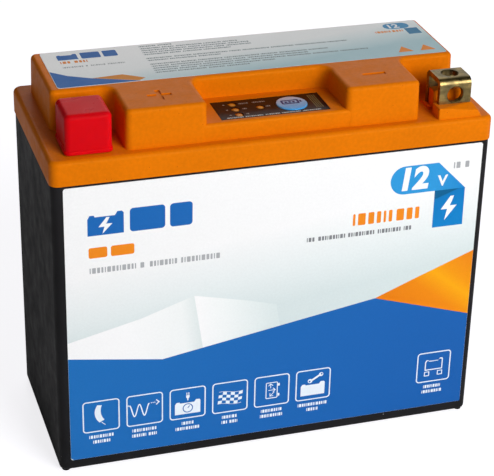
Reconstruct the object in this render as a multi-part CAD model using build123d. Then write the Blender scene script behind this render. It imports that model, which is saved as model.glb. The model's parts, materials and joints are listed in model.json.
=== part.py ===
from build123d import *
import os

# A 12 V lithium motorcycle battery: container, lid, terminals, charge indicator and the cell pack inside.
# Millimetres, +Z up.  The origin is the middle of the base.  +X runs along the length towards the negative
# terminal and -Y is the labelled front.

# ------------------------------------------------------------------ driving dimensions
LENGTH = 150.0
WIDTH = 65.0
HEIGHT = 130.0

# how far a cutting tool runs past the face it cuts, and the smallest distance that counts
CUT = 1.0
NEAR = 1e-6

# levels, from the base up
FOOT_HEIGHT = 0.4
CASE_TOP = 107.7
LID_BOTTOM = 108.0
SHOULDER = 116.4
SHELF = 122.3
LABEL_THICKNESS = 0.15
LID_TOP = HEIGHT - LABEL_THICKNESS

# container
LID_OVERHANG = 0.4
CASE_LENGTH = LENGTH - 2 * LID_OVERHANG
CASE_WIDTH = WIDTH - 2 * LID_OVERHANG
CASE_WALL = 2.2
CASE_CORNER_R = 2.5
CASE_BOTTOM_R = 1.6
FOOT_R = 1.4
FOOT_INSET = 2.3
INNER_LENGTH = CASE_LENGTH - 2 * CASE_WALL
INNER_WIDTH = CASE_WIDTH - 2 * CASE_WALL
INNER_CORNER_R = 1.2
CASE_FLOOR = FOOT_HEIGHT + CASE_WALL

# lid
LID_WALL = 2.2
RAISED_WALL = 2.6
SKIRT_CORNER_R = 3.0
SKIRT_EDGE_R = 1.7
DRAFT_DEG = 1.5
BLOCK_EDGE_R = 1.5
BLOCK_CORNER_R = 2.2
INSIDE_CORNER_R = 3.6
REAR_X = 69.8
REAR_FRONT_Y = -8.1
REAR_BACK_Y = 26.8
FRONT_Y = -28.8
BLOCK_A_X = (-49.8, -22.7)
BLOCK_B_X = (23.7, 49.8)
SHELF_EDGE_R = 1.2
SHELF_SETBACK = 0.2
SHELF_ROOT = 2.0
MARK_SPAN = 8.0
MARK_WIDTH = 1.7
MARK_DEPTH = 0.4
MARK_Y = -18.5
TONGUE_DEPTH = 4.0
TONGUE_WALL = 1.4
TONGUE_GAP = 0.3
RIB_WALL = 1.4
RIB_X = (-58.0, -29.0, 0.0, 29.0, 58.0)

# terminals: a bent strip with a hole in its front and its top
TERMINAL_X = 62.4
TERMINAL_WIDTH = 11.2
TERMINAL_FRONT = -27.6
TERMINAL_BACK = -16.1
TERMINAL_TOP = 128.9
TERMINAL_FOOT = 107.5
STRIP = 1.8
BEND_R = 2.4
HOLE_R = 2.75
HOLE_CHAMFER = 0.25
FRONT_HOLE_Z = 123.4
LEG_GAP = 0.05

# mouldings of the lid at the terminals
CORE_FRONT = -21.6
CORE_TOP = 122.85
CORE_WIDTH = 10.4
PEDESTAL_TOP = 120.3
PEDESTAL_FRONT = -31.0
PEDESTAL_BACK = -25.0
PEDESTAL_SIDE = 1.2
PEDESTAL_END_X = 71.6
PEDESTAL_DROP = 1.6
PEDESTAL_EDGE_R = 0.5
LEDGE_TOP = 119.3
LEDGE_WIDTH = 7.6
PLINTH_TOP = 117.2
PLINTH_SIDE = 1.0
PLINTH_BACK = -14.6

# slip-on cap of the positive terminal
CAP_X = (-69.1, -53.9)
CAP_Y = (-28.9, -12.7)
CAP_BOTTOM = 116.8
CAP_WALL = 0.8
CAP_EDGE_R = 1.9
CAP_TOP_R = 1.8
CAP_BEAD = 0.3
CAP_BEAD_HEIGHT = 1.2
CAP_RIB = 0.9
CAP_RIB_GAP = 0.4

# labels
FRONT_LABEL_X = (-71.0, 71.9)
FRONT_LABEL_Z = (4.5, 107.1)
TOP_LABEL_X = (-66.6, 68.0)
TOP_LABEL_Y = (-6.0, 24.9)
LABEL_CORNER_R = 0.9

# charge indicator
OVERLAY_X = (-17.6, 19.2)
OVERLAY_Y = (-26.2, -12.0)
OVERLAY_THICKNESS = 0.3
OVERLAY_GAP = 0.15
SHELF_WALL = 2.2
BUTTON_X = 8.2
BUTTON_Y = -19.0
BUTTON_R = 5.2
BUTTON_GAP = 0.2
BUTTON_PROUD = 0.35
BUTTON_TRAVEL = 0.5
BUTTON_FLANGE_R = 6.2
BUTTON_FLANGE = 0.9
BUTTON_EDGE_R = 0.3
FLANGE_GAP = 0.1
LED_PLACES = ((-10.9, -14.9), (-10.9, -19.1), (-10.9, -23.3), (-2.5, -19.0))
LED_R = 1.3
LED_HOLE_R = 1.5
LED_DOME_R = 0.78
LED_BASE_R = 1.8
LED_BASE = 1.0
LED_TOP = SHELF - 0.05
BOARD_THICKNESS = 1.2
BOARD_TOP = 116.0
BOARD_X = (-20.8, 22.2)
BOARD_Y = (-26.0, -8.6)
BOSS_X = (-18.4, 19.8)
BOSS_Y = (-23.6, -11.0)
BOSS_R = 2.3
BOSS_ROOT = 0.5
PILOT_R = 0.8
SCREW_CLEAR_R = 1.1
SWITCH_SIZE = 6.2
SWITCH_TOP = 118.0
SWITCH_FLOOR = 0.4
PLUNGER_GAP = 0.1
PLUNGER_R = 1.7
SCREW_HEAD_R = 1.9
SCREW_HEAD = 1.2
SCREW_LENGTH = 4.0
SCREW_SHANK_R = 0.75
RECESS_LENGTH = 2.28
RECESS_WIDTH = 0.4
RECESS_DEPTH = 0.5

# cell pack: four in series, each a pair in parallel
CELL_R = 13.1
CELL_LENGTH = 65.5
CELL_PITCH = 27.2
CELL_COLUMNS = 4
CELL_GAP = 0.15
CELL_RIM = 0.8
CELL_NUB_R = 6.5
CELL_GROOVE_R = 9.5
BASE_FOAM_TOP = 27.5
BUSBAR = 0.5
CELL_BOTTOM = BASE_FOAM_TOP + BUSBAR
CELL_TOP = CELL_BOTTOM + CELL_LENGTH
HOLDER = 10.0
HOLDER_GAP = 0.3
BUSBAR_SIDE = 11.0
BUSBAR_SLOT = (2.0, 8.0)
POST_X = 57.6
POST_Y = 0.0
POST_R = 2.6
SHEET_BOTTOM = 95.2
SHEET = 0.5
SHEET_SIZE = (96.0, 52.0)
BALANCE_BOTTOM = 99.0
BALANCE_SIZE = (98.0, 34.0)
BALANCE_TOP = BALANCE_BOTTOM + BOARD_THICKNESS
SENSE_R = 0.6
SENSE_CLEAR_R = 1.0
RESISTOR_SIZE = (6.4, 3.2, 0.8)
RESISTOR_X = (-36.0, -27.0, 27.0, 36.0)
RESISTOR_Y = (-11.0, 11.0)
CHIP_SIZE = (8.6, 6.0, 1.6)
CHIP_PLACE = (12.0, 6.0)
CONNECTOR_SIZE = (12.0, 5.0, 5.0)
CONNECTOR_Y = -12.0
RIBBON_SIZE = (7.0, 0.6)
RIBBON_Y = -12.0
LEAD_THICKNESS = 1.0
LEAD_WIDTH = 10.0
LEAD_INNER_X = 46.0
LEAD_TOP = 111.0
SEAL_BOTTOM = 111.4
SEAL_MARGIN = 1.8
SEAL_FRONT_MARGIN = 0.4
END_FOAM_GAP = 0.6
BASE_FOAM_GAP = 0.5


# ------------------------------------------------------------------ helpers
def block(x, y, z):
    """Return a box between the two limits given for each axis."""
    size = [high - low for low, high in (x, y, z)]
    middle = [(high + low) / 2 for low, high in (x, y, z)]
    return Pos(*middle) * Box(*size)


def rod(x, y, z, radius):
    """Return an upright cylinder at x, y between the two heights in z."""
    return Pos(x, y, (z[0] + z[1]) / 2) * Cylinder(radius, z[1] - z[0])


def plate(length, width, z, corner_r):
    """Return a centred slab with round corners between the two heights in z."""
    return Pos(0, 0, z[0]) * extrude(RectangleRounded(length, width, corner_r), z[1] - z[0])


def group(solids):
    """Return separate solids as one sub-part."""
    return Compound(children=[solid.solid() for solid in solids])


def side_x(side):
    """Return the limits in X of the terminal on one side: -1 is positive, +1 is negative."""
    centre = side * TERMINAL_X
    return centre - TERMINAL_WIDTH / 2, centre + TERMINAL_WIDTH / 2


def grown(limits, amount):
    """Return a pair of limits moved outwards by amount."""
    return limits[0] - amount, limits[1] + amount


# ------------------------------------------------------------------ container
def make_case():
    """Return the open container with its four low feet."""
    shell = plate(CASE_LENGTH, CASE_WIDTH, (FOOT_HEIGHT, CASE_TOP), CASE_CORNER_R)
    shell = fillet(shell.edges().group_by(Axis.Z)[0], CASE_BOTTOM_R)
    for x in (FOOT_INSET - CASE_LENGTH / 2, CASE_LENGTH / 2 - FOOT_INSET):
        for y in (FOOT_INSET - CASE_WIDTH / 2, CASE_WIDTH / 2 - FOOT_INSET):
            shell += rod(x, y, (0, FOOT_HEIGHT + CASE_WALL), FOOT_R)
    return shell - plate(INNER_LENGTH, INNER_WIDTH, (CASE_FLOOR, CASE_TOP + CUT), INNER_CORNER_R)


def make_lid_seal():
    """Return the bead of sealant between the container's rim and the lid."""
    z = (CASE_TOP, LID_BOTTOM)
    outside = plate(CASE_LENGTH - 2 * LID_OVERHANG, CASE_WIDTH - 2 * LID_OVERHANG, z, CASE_CORNER_R)
    return outside - plate(INNER_LENGTH, INNER_WIDTH, z, INNER_CORNER_R)


# ------------------------------------------------------------------ lid
def lid_outline(shrink):
    """Return the plan of the raised blocks, an E lying on its back, made smaller by shrink all round."""
    back = Pos(0, (REAR_FRONT_Y + REAR_BACK_Y) / 2) * Rectangle(2 * REAR_X, REAR_BACK_Y - REAR_FRONT_Y)
    plan = back
    for x0, x1 in (BLOCK_A_X, BLOCK_B_X):
        plan += Pos((x0 + x1) / 2, (FRONT_Y + REAR_BACK_Y) / 2) * Rectangle(x1 - x0, REAR_BACK_Y - FRONT_Y)
    inside = [v for v in plan.vertices() if abs(v.Y - REAR_FRONT_Y) < NEAR and abs(v.X) < REAR_X - NEAR]
    plan = fillet(inside, INSIDE_CORNER_R)
    outside = plan.vertices().filter_by(lambda v: abs(v.X) > REAR_X - NEAR or v.Y < FRONT_Y + NEAR)
    plan = fillet(outside, BLOCK_CORNER_R)
    if shrink:
        plan = offset(plan, -shrink)
    return plan


def make_lid_outside():
    """Return the solid outer form of the lid: skirt, raised blocks and the shelf between them."""
    skirt = plate(LENGTH, WIDTH, (LID_BOTTOM, SHOULDER), SKIRT_CORNER_R)
    skirt = fillet(skirt.edges().group_by(Axis.Z)[-1], SKIRT_EDGE_R)
    raised = extrude(lid_outline(0), LID_TOP - SHOULDER, taper=DRAFT_DEG)
    raised = fillet(raised.edges().group_by(Axis.Z)[-1], BLOCK_EDGE_R)
    shelf = block(
        grown((BLOCK_A_X[1], BLOCK_B_X[0]), SHELF_ROOT),
        (FRONT_Y + SHELF_SETBACK, REAR_FRONT_Y + SHELF_ROOT),
        (SHOULDER - CUT, SHELF),
    )
    front_edge = shelf.edges().filter_by(Axis.X).group_by(Axis.Z)[-1].sort_by(Axis.Y)[0]
    shelf = fillet(front_edge, SHELF_EDGE_R)
    return skirt + Pos(0, 0, SHOULDER) * raised + shelf


def make_lid_inside():
    """Return the hollow of the lid."""
    ceiling = SHOULDER - LID_WALL
    step = LID_TOP - SHOULDER
    skirt_length = LENGTH - 2 * LID_WALL
    skirt_width = WIDTH - 2 * LID_WALL
    hollow = plate(skirt_length, skirt_width, (LID_BOTTOM - CUT, ceiling), INNER_CORNER_R)
    hollow += Pos(0, 0, ceiling - CUT) * extrude(lid_outline(RAISED_WALL), step + CUT)
    hollow += block(
        grown((BLOCK_A_X[1], BLOCK_B_X[0]), LID_WALL + CUT),
        (FRONT_Y + LID_WALL, REAR_FRONT_Y + LID_WALL + CUT),
        (ceiling - CUT, SHELF - SHELF_WALL),
    )
    return hollow


def make_tongue():
    """Return the locating rim that reaches down inside the container."""
    outer_length = INNER_LENGTH - 2 * TONGUE_GAP
    outer_width = INNER_WIDTH - 2 * TONGUE_GAP
    z = (LID_BOTTOM - TONGUE_DEPTH, LID_BOTTOM + LID_WALL)
    ring = plate(outer_length, outer_width, z, INNER_CORNER_R)
    land = plate(LENGTH - LID_WALL, WIDTH - LID_WALL, (LID_BOTTOM, LID_BOTTOM + LID_WALL), SKIRT_CORNER_R)
    opening = plate(outer_length - 2 * TONGUE_WALL, outer_width - 2 * TONGUE_WALL, z, INNER_CORNER_R / 2)
    return ring + land - opening


def make_polarity_marks():
    """Return the plus and minus that are sunk into the two front blocks."""
    plus_x = sum(BLOCK_A_X) / 2
    minus_x = sum(BLOCK_B_X) / 2
    z = (LID_TOP - MARK_DEPTH, LID_TOP + CUT)
    bar = block((-MARK_SPAN / 2, MARK_SPAN / 2), (-MARK_WIDTH / 2, MARK_WIDTH / 2), z)
    upright = block((-MARK_WIDTH / 2, MARK_WIDTH / 2), (-MARK_SPAN / 2, MARK_SPAN / 2), z)
    return Pos(plus_x, MARK_Y, 0) * (bar + upright) + Pos(minus_x, MARK_Y, 0) * bar


def make_terminal_core(side):
    """Return the post between a terminal's legs that stops the nut from turning."""
    x = grown((side * TERMINAL_X, side * TERMINAL_X), CORE_WIDTH / 2)
    return block(x, (CORE_FRONT, TERMINAL_BACK - STRIP - LEG_GAP), (SHOULDER - LID_WALL, CORE_TOP))


def make_pedestal():
    """Return the raised foot in front of the negative terminal, with its sloping outer corner."""
    x0, x1 = side_x(1)
    x0 -= PEDESTAL_SIDE
    profile = Polyline(
        (x0, SHOULDER - CUT),
        (x0, PEDESTAL_TOP),
        (x1 + PEDESTAL_SIDE / 2, PEDESTAL_TOP),
        (PEDESTAL_END_X, SHOULDER - CUT),
        close=True,
    )
    face = make_face(Plane.XZ * profile)
    foot = Pos(0, PEDESTAL_BACK, 0) * extrude(face, PEDESTAL_BACK - PEDESTAL_FRONT, dir=(0, -1, 0))
    corner = Vector(x0, PEDESTAL_FRONT, PEDESTAL_TOP)
    along_front = Vector(x1, PEDESTAL_FRONT, PEDESTAL_TOP - PEDESTAL_DROP) - corner
    to_plate = Vector(x1, TERMINAL_FRONT, PEDESTAL_TOP) - corner
    slope = Plane(origin=corner, x_dir=along_front, z_dir=along_front.cross(to_plate))
    foot = split(foot, bisect_by=slope, keep=Keep.BOTTOM)
    upper_edges = foot.edges().filter_by(lambda edge: edge.center().Z > SHOULDER + PEDESTAL_EDGE_R)
    foot = fillet(upper_edges, PEDESTAL_EDGE_R)
    ledge_x = grown((TERMINAL_X, TERMINAL_X), LEDGE_WIDTH / 2)
    ledge = block(ledge_x, (PEDESTAL_BACK, CORE_FRONT), (SHOULDER - CUT, LEDGE_TOP))
    plinth_x = grown(side_x(1), PLINTH_SIDE)
    plinth = block(plinth_x, (CORE_FRONT, PLINTH_BACK), (SHOULDER - CUT, PLINTH_TOP))
    return foot + ledge + plinth


def leg_slots(side):
    """Return the two slots that a terminal's legs pass down through."""
    x = grown(side_x(side), LEG_GAP)
    z = (TERMINAL_FOOT, PEDESTAL_TOP + CUT)
    front = block(x, grown((TERMINAL_FRONT, TERMINAL_FRONT + STRIP), LEG_GAP), z)
    back = block(x, grown((TERMINAL_BACK - STRIP, TERMINAL_BACK), LEG_GAP), z)
    return front + back


def make_lid():
    """Return the lid with its ribs, screw bosses, terminal mouldings and indicator recess."""
    lid = make_lid_outside() - make_lid_inside()
    lid += make_tongue()
    for x in RIB_X:
        rib_y = (REAR_FRONT_Y + LID_WALL, REAR_BACK_Y - LID_WALL)
        lid += block(grown((x, x), RIB_WALL / 2), rib_y, (SHOULDER, LID_TOP - LID_WALL))
    for x in BOSS_X:
        for y in BOSS_Y:
            lid += rod(x, y, (BOARD_TOP, SHELF - SHELF_WALL + BOSS_ROOT), BOSS_R)
            lid -= rod(x, y, (BOARD_TOP, BOARD_TOP + SCREW_LENGTH), PILOT_R)
    lid += make_pedestal()
    for side in (-1, 1):
        lid += make_terminal_core(side)
        lid -= leg_slots(side)
    lid -= block(
        grown(OVERLAY_X, OVERLAY_GAP), grown(OVERLAY_Y, OVERLAY_GAP), (SHELF - OVERLAY_THICKNESS, SHELF + CUT)
    )
    window = (SHELF - SHELF_WALL - CUT, SHELF + CUT)
    lid -= rod(BUTTON_X, BUTTON_Y, window, BUTTON_R + BUTTON_GAP)
    for x, y in LED_PLACES:
        lid -= rod(x, y, window, LED_HOLE_R)
    return lid - make_polarity_marks()


# ------------------------------------------------------------------ terminals
def make_terminal(side):
    """Return one terminal: an upside-down U of strip with a bolt hole in its front and in its top."""
    depth = TERMINAL_BACK - TERMINAL_FRONT
    height = TERMINAL_TOP - TERMINAL_FOOT
    outer = Rectangle(depth, height)
    outer = fillet(outer.vertices().group_by(Axis.Y)[-1], BEND_R)
    inner = Pos(0, -STRIP / 2) * Rectangle(depth - 2 * STRIP, height - STRIP)
    inner = fillet(inner.vertices().group_by(Axis.Y)[-1], BEND_R - STRIP)
    strip = extrude(Plane.YZ * (outer - inner), TERMINAL_WIDTH / 2, both=True)
    mid_y = (TERMINAL_FRONT + TERMINAL_BACK) / 2
    strip = Pos(side * TERMINAL_X, mid_y, (TERMINAL_TOP + TERMINAL_FOOT) / 2) * strip
    drill = Cylinder(HOLE_R, 2 * (STRIP + CUT))
    strip -= Pos(side * TERMINAL_X, TERMINAL_FRONT, FRONT_HOLE_Z) * Rot(90, 0, 0) * drill
    strip -= Pos(side * TERMINAL_X, mid_y, TERMINAL_TOP) * drill
    front_rim = strip.edges().filter_by(GeomType.CIRCLE).sort_by(Axis.Y)[0]
    strip = chamfer(front_rim, HOLE_CHAMFER)
    top_rim = strip.edges().filter_by(GeomType.CIRCLE).sort_by(Axis.Z)[-1]
    return chamfer(top_rim, HOLE_CHAMFER)


def make_terminal_seal(side):
    """Return the rubber block that seals a terminal's legs under the lid."""
    x = grown(side_x(side), SEAL_MARGIN)
    y = (TERMINAL_FRONT - SEAL_FRONT_MARGIN, TERMINAL_BACK + SEAL_MARGIN)
    return block(x, y, (SEAL_BOTTOM, SHOULDER - LID_WALL)) - leg_slots(side)


def make_cap():
    """Return the slip-on cap that covers the positive terminal, open below, with grip ribs inside."""
    cap = block(CAP_X, CAP_Y, (CAP_BOTTOM, HEIGHT))
    cap = fillet(cap.edges().filter_by(Axis.Z), CAP_EDGE_R)
    cap = fillet(cap.edges().group_by(Axis.Z)[-1], CAP_TOP_R)
    bead_length = CAP_X[1] - CAP_X[0] + 2 * CAP_BEAD
    bead_width = CAP_Y[1] - CAP_Y[0] + 2 * CAP_BEAD
    bead_z = (CAP_BOTTOM, CAP_BOTTOM + CAP_BEAD_HEIGHT)
    bead = plate(bead_length, bead_width, bead_z, CAP_EDGE_R + CAP_BEAD)
    bead = fillet(bead.edges().group_by(Axis.Z)[-1], CAP_BEAD)
    cap += Pos(sum(CAP_X) / 2, sum(CAP_Y) / 2, 0) * bead
    hollow_x = grown(CAP_X, -CAP_WALL)
    hollow_y = grown(CAP_Y, -CAP_WALL)
    hollow = block(hollow_x, hollow_y, (CAP_BOTTOM - CUT, HEIGHT - CAP_WALL))
    hollow = fillet(hollow.edges().filter_by(Axis.Z), CAP_EDGE_R - CAP_WALL)
    cap -= hollow
    x0, x1 = side_x(-1)
    rib_z = (CAP_BOTTOM + CAP_BEAD_HEIGHT, HEIGHT - CAP_WALL)
    for y in (TERMINAL_FRONT + STRIP, TERMINAL_BACK - STRIP):
        rib_x = (x1 + CAP_RIB_GAP, hollow_x[1] + CAP_WALL / 2)
        cap += block(rib_x, grown((y, y), CAP_RIB / 2), rib_z)
    for x in (x0 + STRIP, x1 - STRIP):
        rib_y = (TERMINAL_BACK + CAP_RIB_GAP, hollow_y[1] + CAP_WALL / 2)
        cap += block(grown((x, x), CAP_RIB / 2), rib_y, rib_z)
    return cap


# ------------------------------------------------------------------ labels
def make_front_label():
    """Return the thin label on the flat of the container's front."""
    width = FRONT_LABEL_X[1] - FRONT_LABEL_X[0]
    height = FRONT_LABEL_Z[1] - FRONT_LABEL_Z[0]
    film = extrude(Plane.XZ * RectangleRounded(width, height, LABEL_CORNER_R), LABEL_THICKNESS)
    return Pos(sum(FRONT_LABEL_X) / 2, -CASE_WIDTH / 2, sum(FRONT_LABEL_Z) / 2) * film


def make_top_label():
    """Return the thin label on the rear block."""
    width = TOP_LABEL_X[1] - TOP_LABEL_X[0]
    depth = TOP_LABEL_Y[1] - TOP_LABEL_Y[0]
    film = extrude(RectangleRounded(width, depth, LABEL_CORNER_R), LABEL_THICKNESS)
    return Pos(sum(TOP_LABEL_X) / 2, sum(TOP_LABEL_Y) / 2, LID_TOP) * film


# ------------------------------------------------------------------ charge indicator
def make_overlay():
    """Return the indicator's face film, with its button hole and light windows."""
    film = block(OVERLAY_X, OVERLAY_Y, (SHELF - OVERLAY_THICKNESS, SHELF))
    film -= rod(BUTTON_X, BUTTON_Y, (SHELF - CUT, SHELF + CUT), BUTTON_R + BUTTON_GAP)
    for x, y in LED_PLACES:
        film -= rod(x, y, (SHELF - CUT, SHELF + CUT), LED_HOLE_R)
    return film


def flange_top():
    """Return the height at which the button's flange stops under the shelf."""
    return SHELF - SHELF_WALL - FLANGE_GAP


def make_test_button():
    """Return the round test button with the flange that keeps it in the lid."""
    top = SHELF + BUTTON_PROUD
    disc = rod(BUTTON_X, BUTTON_Y, (flange_top() - BUTTON_FLANGE, top), BUTTON_R)
    disc = fillet(disc.edges().group_by(Axis.Z)[-1], BUTTON_EDGE_R)
    return disc + rod(BUTTON_X, BUTTON_Y, (flange_top() - BUTTON_FLANGE, flange_top()), BUTTON_FLANGE_R)


def make_switch_body():
    """Return the body of the push switch on the indicator board."""
    x = grown((BUTTON_X, BUTTON_X), SWITCH_SIZE / 2)
    y = grown((BUTTON_Y, BUTTON_Y), SWITCH_SIZE / 2)
    well = rod(BUTTON_X, BUTTON_Y, (BOARD_TOP + SWITCH_FLOOR, SWITCH_TOP + CUT), PLUNGER_R + PLUNGER_GAP)
    return block(x, y, (BOARD_TOP, SWITCH_TOP)) - well


def make_switch_plunger():
    """Return the switch's plunger, which the button rests on."""
    foot = BOARD_TOP + SWITCH_FLOOR + BUTTON_TRAVEL + PLUNGER_GAP
    return rod(BUTTON_X, BUTTON_Y, (foot, flange_top() - BUTTON_FLANGE), PLUNGER_R)


def make_indicator_board():
    """Return the indicator's circuit board with its four screw holes."""
    board = block(BOARD_X, BOARD_Y, (BOARD_TOP - BOARD_THICKNESS, BOARD_TOP))
    for x in BOSS_X:
        for y in BOSS_Y:
            board -= rod(x, y, (BOARD_TOP - 2 * BOARD_THICKNESS, BOARD_TOP + CUT), SCREW_CLEAR_R)
    return board


def make_leds():
    """Return the indicator's lights, each a domed lens on a wider base."""
    lights = []
    for x, y in LED_PLACES:
        lens = rod(x, y, (BOARD_TOP, LED_TOP), LED_R)
        lens = fillet(lens.edges().group_by(Axis.Z)[-1], LED_DOME_R)
        lights.append(lens + rod(x, y, (BOARD_TOP, BOARD_TOP + LED_BASE), LED_BASE_R))
    return group(lights)


def make_screw():
    """Return a pan-head screw with its seat at the origin, pointing along +Z."""
    head = Pos(0, 0, -SCREW_HEAD / 2) * Cylinder(SCREW_HEAD_R, SCREW_HEAD)
    head = fillet(head.edges().group_by(Axis.Z)[0], SCREW_HEAD / 2)
    slot = Box(RECESS_LENGTH, RECESS_WIDTH, 2 * RECESS_DEPTH)
    head -= Pos(0, 0, -SCREW_HEAD) * (slot + Rot(0, 0, 90) * slot)
    shank = Pos(0, 0, SCREW_LENGTH / 2) * Cylinder(SCREW_SHANK_R, SCREW_LENGTH)
    return head + shank


def make_indicator_screws():
    """Return the four screws that hold the indicator board up against its bosses."""
    seat = BOARD_TOP - BOARD_THICKNESS
    return group([Pos(x, y, seat) * make_screw() for x in BOSS_X for y in BOSS_Y])


# ------------------------------------------------------------------ cell pack
def column_x(column):
    """Return the X of a column of cells, counted from the positive end."""
    return (column - (CELL_COLUMNS - 1) / 2) * CELL_PITCH


def row_y(row):
    """Return the Y of a row of cells: 0 is the front one and 1 the back one."""
    return (row - 0.5) * CELL_PITCH


def make_cell(column, row):
    """Return one cylindrical cell; every second column stands upside down."""
    body = Cylinder(CELL_R, CELL_LENGTH)
    body = fillet(body.edges().filter_by(GeomType.CIRCLE), CELL_RIM)
    groove = Cylinder(CELL_GROOVE_R, CELL_RIM) - Cylinder(CELL_NUB_R, CELL_RIM)
    body -= Pos(0, 0, (CELL_LENGTH - CELL_RIM) / 2) * groove
    if column % 2:
        body = Rot(180, 0, 0) * body
    return Pos(column_x(column), row_y(row), (CELL_TOP + CELL_BOTTOM) / 2) * body


def make_holder(bottom):
    """Return a plate that holds all the cells at one end, pierced for them and for the sense wires."""
    z = (bottom, bottom + HOLDER)
    holder = plate(INNER_LENGTH - 2 * HOLDER_GAP, INNER_WIDTH - 2 * HOLDER_GAP, z, INNER_CORNER_R)
    for column in range(CELL_COLUMNS):
        for row in (0, 1):
            holder -= rod(column_x(column), row_y(row), z, CELL_R + CELL_GAP)
    for x in (-CELL_PITCH, CELL_PITCH):
        holder -= rod(x, 0, z, SENSE_CLEAR_R)
    return holder


def make_upper_holder():
    """Return the upper holder with the posts that carry the balance board."""
    holder = make_holder(CELL_TOP - HOLDER)
    for x in (-POST_X, POST_X):
        holder += rod(x, POST_Y, (CELL_TOP - CUT, BALANCE_BOTTOM), POST_R)
        holder -= rod(x, POST_Y, (BALANCE_BOTTOM - SCREW_LENGTH, BALANCE_BOTTOM), PILOT_R)
    return holder


def make_busbar(first, last, bottom):
    """Return a busbar that joins the cells of the columns first to last, slotted over each cell."""
    x = (column_x(first) - BUSBAR_SIDE, column_x(last) + BUSBAR_SIDE)
    y = grown((row_y(0), row_y(1)), BUSBAR_SIDE)
    bar = block(x, y, (bottom, bottom + BUSBAR))
    for column in range(first, last + 1):
        for row in (0, 1):
            slot = Box(BUSBAR_SLOT[0], BUSBAR_SLOT[1], 4 * BUSBAR)
            bar -= Pos(column_x(column), row_y(row), bottom) * slot
    return bar


def sense_points():
    """Return each sense wire's place and the height of the busbar that it rises from."""
    low = [(x, 0, CELL_BOTTOM) for x in (-CELL_PITCH, CELL_PITCH)]
    high = [(x, 0, CELL_TOP + BUSBAR) for x in (column_x(0), 0, column_x(CELL_COLUMNS - 1))]
    return low + high


def make_sense_wires():
    """Return the straight wires from the busbars up to the balance board."""
    return group([rod(x, y, (z, BALANCE_BOTTOM), SENSE_R) for x, y, z in sense_points()])


def make_sheet():
    """Return the insulating sheet over the upper busbars, with holes for the sense wires."""
    z = (SHEET_BOTTOM, SHEET_BOTTOM + SHEET)
    sheet = plate(SHEET_SIZE[0], SHEET_SIZE[1], z, INNER_CORNER_R)
    for x, y, _ in sense_points():
        sheet -= rod(x, y, z, SENSE_CLEAR_R)
    return sheet


def make_balance_board():
    """Return the circuit board that keeps the cells in balance."""
    z = (BALANCE_BOTTOM, BALANCE_TOP)
    board = plate(BALANCE_SIZE[0], BALANCE_SIZE[1], z, INNER_CORNER_R)
    board += plate(2 * (POST_X + POST_R), 2 * POST_R, z, INNER_CORNER_R)
    for x in (-POST_X, POST_X):
        board -= rod(x, POST_Y, grown(z, CUT), SCREW_CLEAR_R)
    return board


def make_balance_screws():
    """Return the two screws that hold the balance board on its posts."""
    return group([Pos(x, POST_Y, BALANCE_TOP) * Rot(180, 0, 0) * make_screw() for x in (-POST_X, POST_X)])


def make_on_board(size, places):
    """Return equal components standing on the balance board."""
    part = Pos(0, 0, BALANCE_TOP + size[2] / 2) * Box(*size)
    return group([Pos(x, y, 0) * part for x, y in places])


def make_ribbon():
    """Return the flat lead from the balance board's connector up to the indicator board."""
    x = grown((0, 0), RIBBON_SIZE[0] / 2)
    y = grown((RIBBON_Y, RIBBON_Y), RIBBON_SIZE[1] / 2)
    return block(x, y, (BALANCE_TOP + CONNECTOR_SIZE[2], BOARD_TOP - BOARD_THICKNESS))


def make_lead(side):
    """Return the strap from an end busbar up to the back leg of the terminal on that side."""
    outer_x = TERMINAL_X + LEAD_WIDTH / 2
    z0 = CELL_TOP + BUSBAR
    front = TERMINAL_BACK
    foot = block((LEAD_INNER_X, outer_x), (front, front + LEAD_WIDTH), (z0, z0 + LEAD_THICKNESS))
    riser = block((TERMINAL_X - LEAD_WIDTH / 2, outer_x), (front, front + LEAD_THICKNESS), (z0, LEAD_TOP))
    lead = foot + riser
    if side < 0:
        lead = mirror(lead, about=Plane.YZ)
    return lead


# ------------------------------------------------------------------ foam
def make_base_foam():
    """Return the foam block that lifts the cell pack to the top of the container."""
    length = INNER_LENGTH - 2 * BASE_FOAM_GAP
    width = INNER_WIDTH - 2 * BASE_FOAM_GAP
    return plate(length, width, (CASE_FLOOR, BASE_FOAM_TOP), INNER_CORNER_R)


def make_end_foam(side):
    """Return the foam block between the outermost cells and one end wall."""
    inner = column_x(CELL_COLUMNS - 1) + CELL_R + END_FOAM_GAP
    outer = INNER_LENGTH / 2 - END_FOAM_GAP
    z = (CELL_BOTTOM + HOLDER, CELL_TOP - HOLDER)
    foam = block((inner, outer), grown((0, 0), INNER_WIDTH / 2 - END_FOAM_GAP), z)
    return foam if side > 0 else mirror(foam, about=Plane.YZ)


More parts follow.
